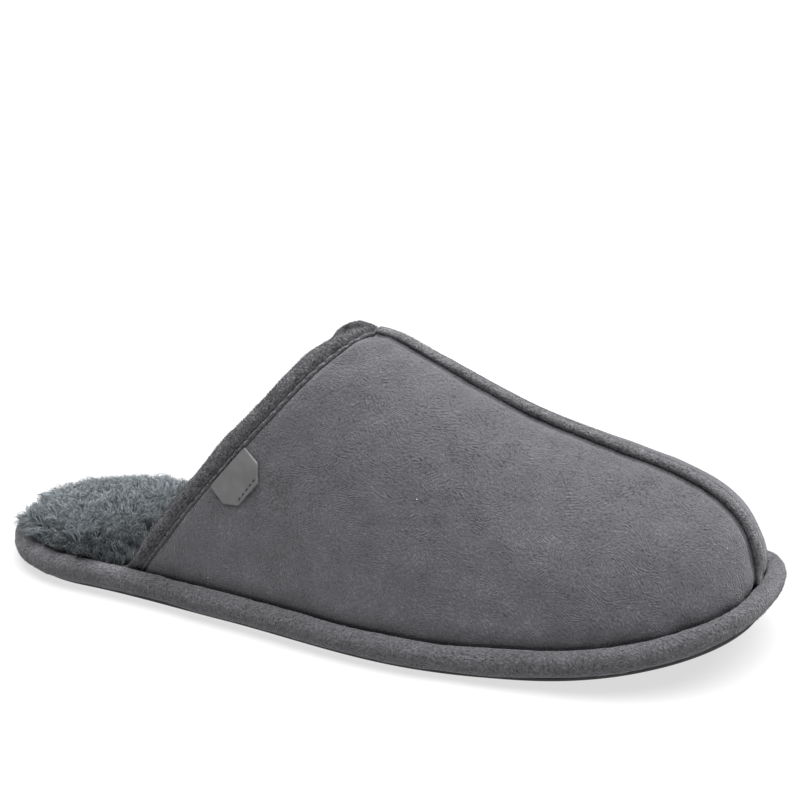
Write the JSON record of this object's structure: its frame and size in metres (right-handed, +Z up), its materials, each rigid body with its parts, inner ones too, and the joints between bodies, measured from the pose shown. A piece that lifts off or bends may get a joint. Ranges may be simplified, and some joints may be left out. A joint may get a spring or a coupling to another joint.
{
  "type": "scuff slipper",
  "caption": "Closed-toe, open-back house slipper with a suede-look upper, rolled collar binding, padded centre seam, wrapped platform sole and fleece insole.",
  "frame": {"origin": "on the floor under the middle of the sole", "axes": "+X along the foot to the toe, +Y to the inner (medial) side of the foot, +Z up; the part stands on its outsole"},
  "size_m": [0.29, 0.1062, 0.0994],
  "materials": {
    "suede": "grey brushed faux suede, soft nap",
    "suede_trim": "grey brushed faux suede, rolled and stitched",
    "fleece": "blue-grey curly fleece pile",
    "sole_rubber": "matt dark rubber",
    "tab_leather": "smooth grey leather-look"
  },
  "bodies": {
    "root": {"outsole": "sole_rubber", "wrapped_midsole": "suede", "insole": "fleece", "upper": "suede", "collar_binding": "suede_trim", "centre_strip": "suede_trim", "side_tab": "tab_leather"}
  },
  "joints": []
}
